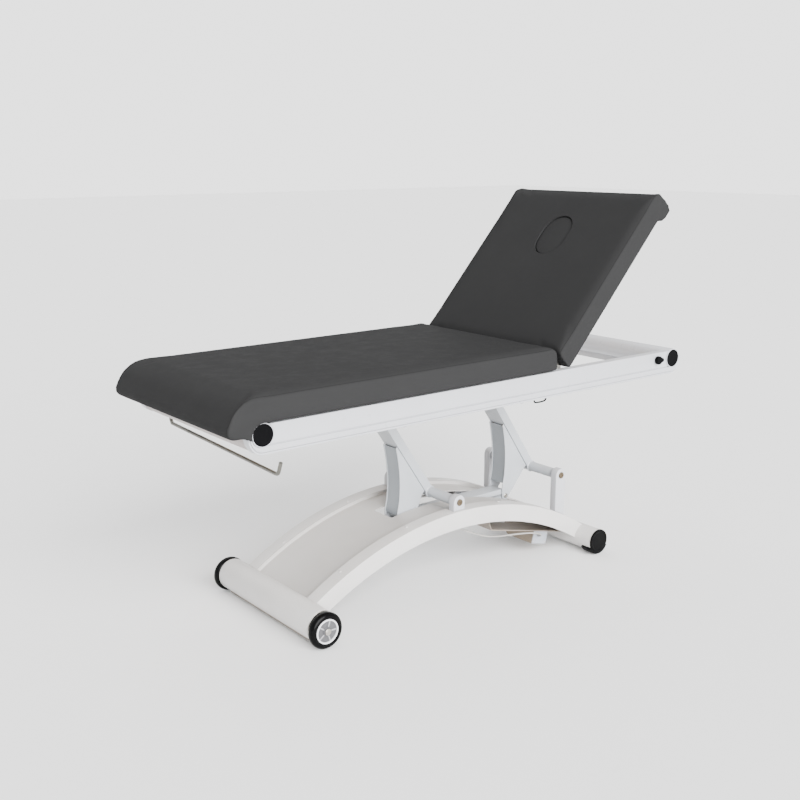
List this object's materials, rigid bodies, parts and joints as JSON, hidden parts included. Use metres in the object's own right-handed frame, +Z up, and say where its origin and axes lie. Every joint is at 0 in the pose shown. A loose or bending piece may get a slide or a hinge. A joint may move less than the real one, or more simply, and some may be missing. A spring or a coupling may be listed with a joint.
{
  "type": "examination couch",
  "caption": "Height-adjustable examination couch with an arched base, parallel lift arms, hinged backrest with face opening, transport wheels and a paper-roll holder.",
  "frame": {"origin": "on the floor, under the centre of the couch's length and width", "axes": "+X from the foot end towards the head end, +Y from the near side towards the far side, +Z up"},
  "size_m": [1.8999, 0.7, 1.3018],
  "materials": {
    "white_paint": "cool white powder coat, satin",
    "base_paint": "warm light grey powder coat, satin",
    "zinc_steel": "zinc-plated steel",
    "yellow_zinc": "yellow zinc plating",
    "polished_rod": "bright plated rod",
    "black_plastic": "black moulded plastic, satin",
    "grey_plastic": "light grey moulded plastic, matte",
    "lead_sheath": "grey cable sheath, matte",
    "foot_rubber": "black moulded rubber",
    "wheel_tyre": "smooth black tyre",
    "spring_black": "gloss black lacquer",
    "charcoal_cover": "charcoal PVC-coated fabric over foam, fine leather grain, satin",
    "plywood": "birch plywood, sealed"
  },
  "bodies": {
    "base": {"near_arch_rail": "base_paint", "far_arch_rail": "base_paint", "arch_deck": "base_paint", "foot_cross_tube": "base_paint", "head_cross_tube": "base_paint", "floor_foot_near": "foot_rubber", "floor_foot_far": "foot_rubber", "wheel_axle_near": "zinc_steel", "wheel_axle_far": "zinc_steel", "front_pillar_near": "white_paint", "front_pillar_far": "white_paint", "rear_pillar_near": "white_paint", "rear_pillar_far": "white_paint", "front_pivot_shaft": "yellow_zinc", "rear_pivot_shaft": "yellow_zinc", "control_tray": "base_paint", "control_box": "grey_plastic", "control_box_panel": "grey_plastic", "power_inlet": "black_plastic", "actuator_anchor": "white_paint", "actuator_lead": "lead_sheath"},
    "front_arm": {"front_arm_tube": "white_paint", "front_arm_gusset": "white_paint", "front_pivot_tube": "white_paint", "front_top_axle": "zinc_steel", "front_lever_pin": "zinc_steel"},
    "rear_arm": {"rear_arm_tube": "white_paint", "rear_arm_gusset": "white_paint", "rear_pivot_tube": "white_paint", "rear_top_axle": "zinc_steel", "rear_lever_pin": "zinc_steel"},
    "link": {"link_bar": "white_paint"},
    "actuator": {"actuator_housing": "grey_plastic"},
    "actuator_rod": {"actuator_rod": "polished_rod"},
    "bed_frame": {"near_side_rail": "white_paint", "far_side_rail": "white_paint", "foot_end_tube": "white_paint", "head_end_tube": "white_paint", "rail_cap_foot_near": "black_plastic", "rail_cap_foot_far": "black_plastic", "rail_cap_head_near": "black_plastic", "rail_cap_head_far": "black_plastic", "front_saddle": "white_paint", "rear_saddle": "white_paint", "seat_board": "plywood", "seat_cushion": "charcoal_cover", "hinge_bar": "zinc_steel", "roll_holder_socket": "white_paint", "handset_hook": "black_plastic"},
    "roll_holder": {"roll_holder_rod": "polished_rod"},
    "backrest": {"backrest_board": "plywood", "backrest_cushion": "charcoal_cover"},
    "face_plug": {"face_plug": "charcoal_cover"},
    "gas_spring": {"gas_spring_cylinder": "spring_black"},
    "gas_rod": {"gas_spring_rod": "polished_rod"},
    "clamp_knob": {"clamp_knob": "black_plastic"},
    "near_wheel": {"near_tyre": "wheel_tyre", "near_hub": "grey_plastic"},
    "far_wheel": {"far_tyre": "wheel_tyre", "far_hub": "grey_plastic"}
  },
  "joints": [
    {"name": "front_arm_pivot", "type": "hinge", "parent": "base", "child": "front_arm", "pos_m": [0.001, 0, 0.303], "axis": [0, 1, 0], "range_deg": [-33, 17]},
    {"name": "rear_arm_pivot", "type": "hinge", "parent": "base", "child": "rear_arm", "pos_m": [0.491, 0, 0.303], "axis": [0, 1, 0], "range_deg": [-33, 17]},
    {"name": "bed_pivot", "type": "hinge", "parent": "front_arm", "child": "bed_frame", "pos_m": [-0.24949, 0, 0.67298], "axis": [0, 1, 0], "range_deg": [-17, 33]},
    {"name": "link_pivot", "type": "hinge", "parent": "rear_arm", "child": "link", "pos_m": [0.365, 0, 0.213], "axis": [0, 1, 0], "range_deg": [-17, 33]},
    {"name": "actuator_tilt", "type": "hinge", "parent": "base", "child": "actuator", "pos_m": [0.26, 0.085, 0.18], "axis": [0, 1, 0], "range_deg": [-8.25, 4.25]},
    {"name": "actuator_rod_pivot", "type": "hinge", "parent": "front_arm", "child": "actuator_rod", "pos_m": [-0.099, 0.085, 0.183], "axis": [0, 1, 0], "range_deg": [-12.75, 24.75]},
    {"name": "backrest_hinge", "type": "hinge", "parent": "bed_frame", "child": "backrest", "pos_m": [0.3343, 0, 0.775], "axis": [0, -1, 0], "range_deg": [-47.8, 22.2]},
    {"name": "gas_spring_tilt", "type": "hinge", "parent": "bed_frame", "child": "gas_spring", "pos_m": [0.30478, 0.15, 0.60758], "axis": [0, -1, 0], "range_deg": [-23.9, 11.1]},
    {"name": "gas_rod_pivot", "type": "hinge", "parent": "backrest", "child": "gas_rod", "pos_m": [0.49425, 0.15, 0.83259], "axis": [0, -1, 0], "range_deg": [-11.1, 23.9]},
    {"name": "face_plug_slide", "type": "slide", "parent": "backrest", "child": "face_plug", "axis": [-0.7408, 0, 0.6717], "range_m": [0, 0.08]},
    {"name": "clamp_knob_turn", "type": "hinge", "parent": "bed_frame", "child": "clamp_knob", "pos_m": [0.818, -0.335, 0.709], "axis": [0, 1, 0], "range_deg": [0, 90]},
    {"name": "roll_holder_swing", "type": "hinge", "parent": "bed_frame", "child": "roll_holder", "pos_m": [-0.78, 0.32, 0.64], "axis": [0, 0, -1], "range_deg": [0, 90]},
    {"name": "near_wheel_spin", "type": "hinge", "parent": "base", "child": "near_wheel", "pos_m": [-0.611, -0.2845, 0.057], "axis": [0, 1, 0], "continuous": true},
    {"name": "far_wheel_spin", "type": "hinge", "parent": "base", "child": "far_wheel", "pos_m": [-0.611, 0.2845, 0.057], "axis": [0, 1, 0], "continuous": true}
  ],
  "couplings": [
    {"joint": "rear_arm_pivot", "follows": "front_arm_pivot", "ratio": 1},
    {"joint": "bed_pivot", "follows": "front_arm_pivot", "ratio": -1},
    {"joint": "link_pivot", "follows": "front_arm_pivot", "ratio": -1},
    {"joint": "actuator_tilt", "follows": "front_arm_pivot", "ratio": 0.25},
    {"joint": "actuator_rod_pivot", "follows": "front_arm_pivot", "ratio": -0.75},
    {"joint": "gas_spring_tilt", "follows": "backrest_hinge", "ratio": 0.5},
    {"joint": "gas_rod_pivot", "follows": "backrest_hinge", "ratio": -0.5}
  ]
}
